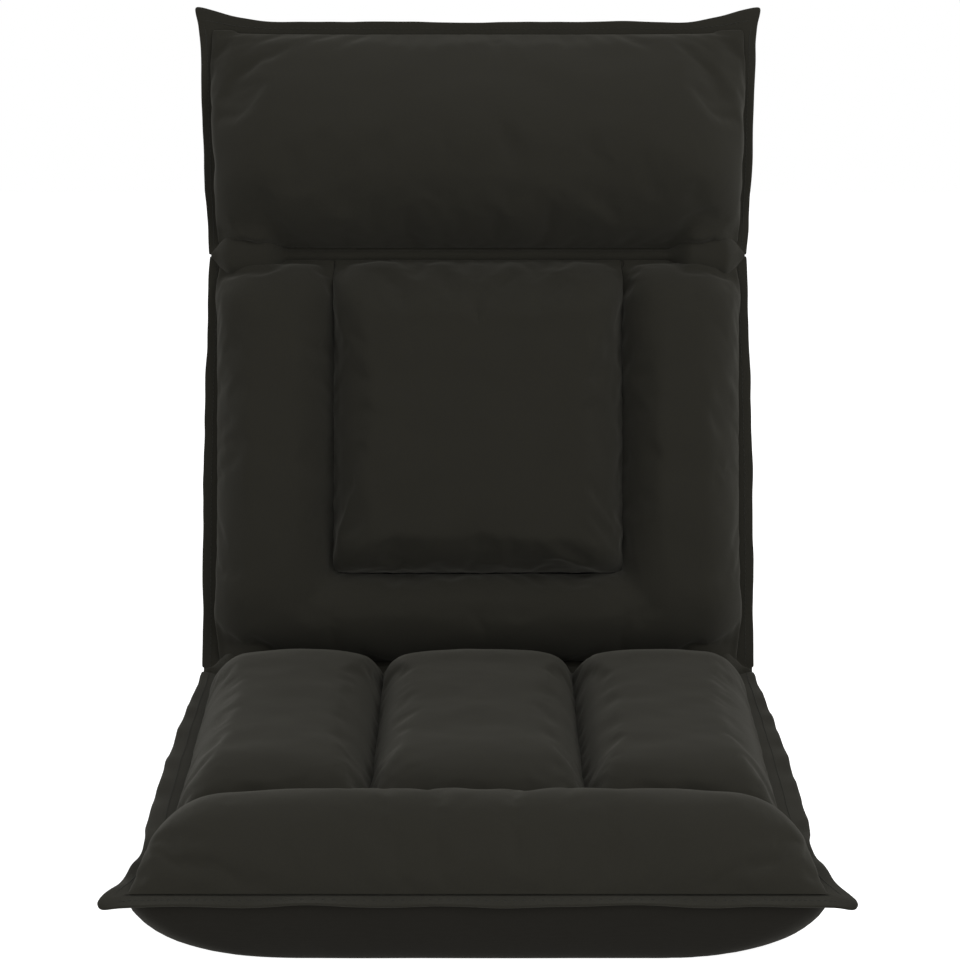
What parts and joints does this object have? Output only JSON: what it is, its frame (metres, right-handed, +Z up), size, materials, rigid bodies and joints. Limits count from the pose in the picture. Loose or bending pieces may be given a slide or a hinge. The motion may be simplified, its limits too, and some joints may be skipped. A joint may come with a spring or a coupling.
{
  "type": "folding floor chair",
  "caption": "Legless padded floor chair: channelled seat, back and headrest on steel tube frames, folding on ratchet hinges.",
  "frame": {"origin": "on the floor, at the middle of the seat's flat underside: midway across, and midway between the recline axis and the front flange", "axes": "+X across the seat, along the recline axis; +Y from the front of the seat to the back; +Z up"},
  "size_m": [0.556, 0.7062, 0.6588],
  "materials": {
    "cover_fabric": "matte",
    "lower_fabric": "matte",
    "foam": "matte",
    "webbing": "matte",
    "frame_paint": "satin",
    "hinge_steel": "satin"
  },
  "bodies": {
    "seat": {"recline_pawl_pins": "hinge_steel", "recline_pawl_springs": "hinge_steel", "recline_pins": "hinge_steel", "seat_arm_left": "hinge_steel", "seat_arm_right": "hinge_steel", "seat_arm_rivets": "hinge_steel", "seat_base_cover": "lower_fabric", "seat_base_foam": "foam", "seat_channel_left": "cover_fabric", "seat_channel_middle": "cover_fabric", "seat_channel_right": "cover_fabric", "seat_cross_bar": "frame_paint", "seat_flange": "cover_fabric", "seat_foam": "foam", "seat_frame_tube": "frame_paint", "seat_front_roll": "cover_fabric", "seat_webbing": "webbing", "waist_web": "cover_fabric"},
    "back": {"back_arm_left": "hinge_steel", "back_arm_right": "hinge_steel", "back_arm_rivets": "hinge_steel", "back_center_pad": "cover_fabric", "back_flange": "cover_fabric", "back_foam": "foam", "back_lower_bar": "frame_paint", "back_rail_left": "frame_paint", "back_rail_right": "frame_paint", "back_rear_cover": "lower_fabric", "back_rear_foam": "foam", "back_surround_pad": "cover_fabric", "back_upper_bar": "frame_paint", "back_webbing": "webbing", "head_carrier_left": "hinge_steel", "head_carrier_right": "hinge_steel", "head_pawl_pins": "hinge_steel", "head_pawl_springs": "hinge_steel", "head_pins": "hinge_steel", "neck_web": "cover_fabric", "recline_ratchet_left": "hinge_steel", "recline_ratchet_right": "hinge_steel"},
    "head": {"head_arm_left": "hinge_steel", "head_arm_right": "hinge_steel", "head_arm_rivets": "hinge_steel", "head_flange": "cover_fabric", "head_foam": "foam", "head_frame_tube": "frame_paint", "head_pillow": "cover_fabric", "head_ratchet_left": "hinge_steel", "head_ratchet_right": "hinge_steel", "head_rear_cover": "lower_fabric", "head_rear_foam": "foam"},
    "head_pawl_left": {"head_pawl_left": "hinge_steel"},
    "head_pawl_right": {"head_pawl_right": "hinge_steel"},
    "recline_pawl_left": {"recline_pawl_left": "hinge_steel"},
    "recline_pawl_right": {"recline_pawl_right": "hinge_steel"}
  },
  "joints": [
    {"name": "back_recline", "type": "hinge", "parent": "seat", "child": "back", "pos_m": [0, 0.25, 0.052], "axis": [1, 0, 0], "range_deg": [-75, 75], "deforming": ["seat_channel_left", "seat_channel_middle", "seat_channel_right", "back_surround_pad", "back_center_pad", "waist_web"]},
    {"name": "head_tilt", "type": "hinge", "parent": "back", "child": "head", "pos_m": [0, 0.35172, 0.43161], "axis": [1, 0, 0], "range_deg": [0, 45], "deforming": ["neck_web"]},
    {"name": "recline_pawl_left_lift", "type": "hinge", "parent": "seat", "child": "recline_pawl_left", "pos_m": [-0.215, 0.22785, 0.04577], "axis": [-1, 0, 0], "range_deg": [0, 8], "stiffness_Nm_per_rad": 0.02, "springref_deg": -28.65, "deforming": ["recline_pawl_springs"]},
    {"name": "recline_pawl_right_lift", "type": "hinge", "parent": "seat", "child": "recline_pawl_right", "pos_m": [0.215, 0.22785, 0.04577], "axis": [-1, 0, 0], "range_deg": [0, 8], "stiffness_Nm_per_rad": 0.02, "springref_deg": -28.65},
    {"name": "head_pawl_left_lift", "type": "hinge", "parent": "back", "child": "head_pawl_left", "pos_m": [-0.215, 0.352, 0.4086], "axis": [-1, 0, 0], "range_deg": [0, 8], "stiffness_Nm_per_rad": 0.02, "springref_deg": -28.65, "deforming": ["head_pawl_springs"]},
    {"name": "head_pawl_right_lift", "type": "hinge", "parent": "back", "child": "head_pawl_right", "pos_m": [0.215, 0.352, 0.4086], "axis": [-1, 0, 0], "range_deg": [0, 8], "stiffness_Nm_per_rad": 0.02, "springref_deg": -28.65}
  ],
  "couplings": [
    {"joint": "recline_pawl_right_lift", "follows": "recline_pawl_left_lift", "ratio": 1},
    {"joint": "head_pawl_right_lift", "follows": "head_pawl_left_lift", "ratio": 1}
  ]
}
